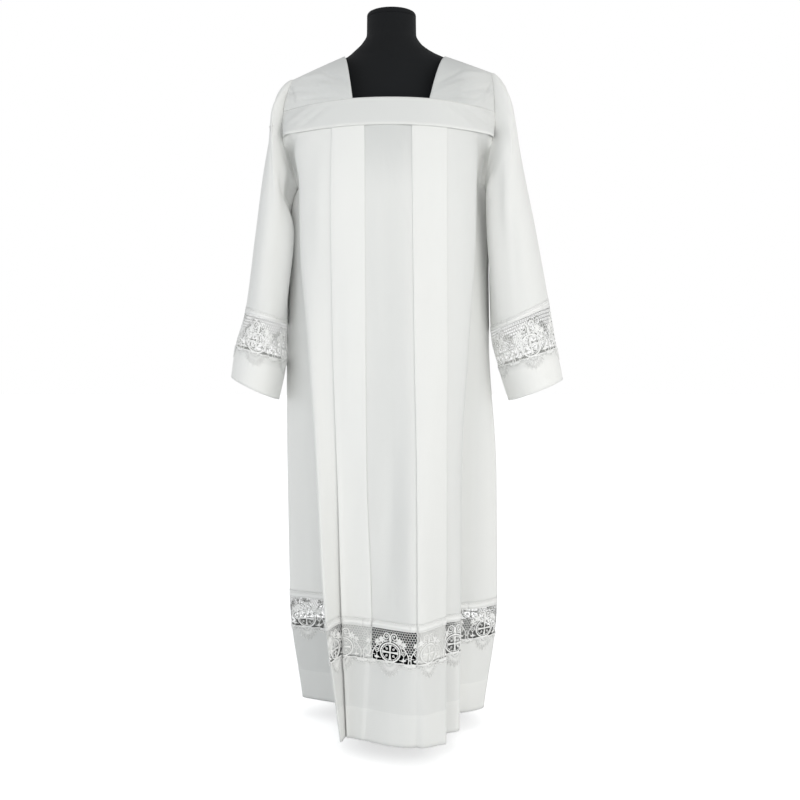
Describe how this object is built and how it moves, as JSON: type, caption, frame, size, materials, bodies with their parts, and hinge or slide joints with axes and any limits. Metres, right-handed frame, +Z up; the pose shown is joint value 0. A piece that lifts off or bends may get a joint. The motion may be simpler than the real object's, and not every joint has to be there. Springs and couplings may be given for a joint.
{
  "type": "alb robe on a dress form",
  "caption": "White pleated alb robe with a square neck, set-in sleeves and inset lace bands, on a limbless black dress form with a flat foot.",
  "frame": {"origin": "middle of the form's flat underside on the floor, under the neck", "axes": "+Z up, the robe's front towards -Y, +X towards the sleeve on the wearer's left"},
  "size_m": [0.7122, 0.5288, 1.5403],
  "materials": {
    "cotton": "matt plain weave",
    "lace": "matt cotton lace",
    "jersey": "matt jersey",
    "foot": "satin black"
  },
  "bodies": {
    "root": {"front_panel": "cotton", "back_panel": "cotton", "front_band": "cotton", "back_band": "cotton", "shoulder_left": "cotton", "shoulder_right": "cotton", "sleeve_left": "cotton", "sleeve_right": "cotton", "cuff_left": "cotton", "cuff_right": "cotton", "hem_front": "cotton", "hem_back": "cotton", "hem_lace_front": "lace", "hem_lace_back": "lace", "cuff_lace_left_front": "lace", "cuff_lace_left_back": "lace", "cuff_lace_right_front": "lace", "cuff_lace_right_back": "lace", "form_body": "jersey", "neck_cap": "jersey", "base": "foot"}
  },
  "joints": []
}
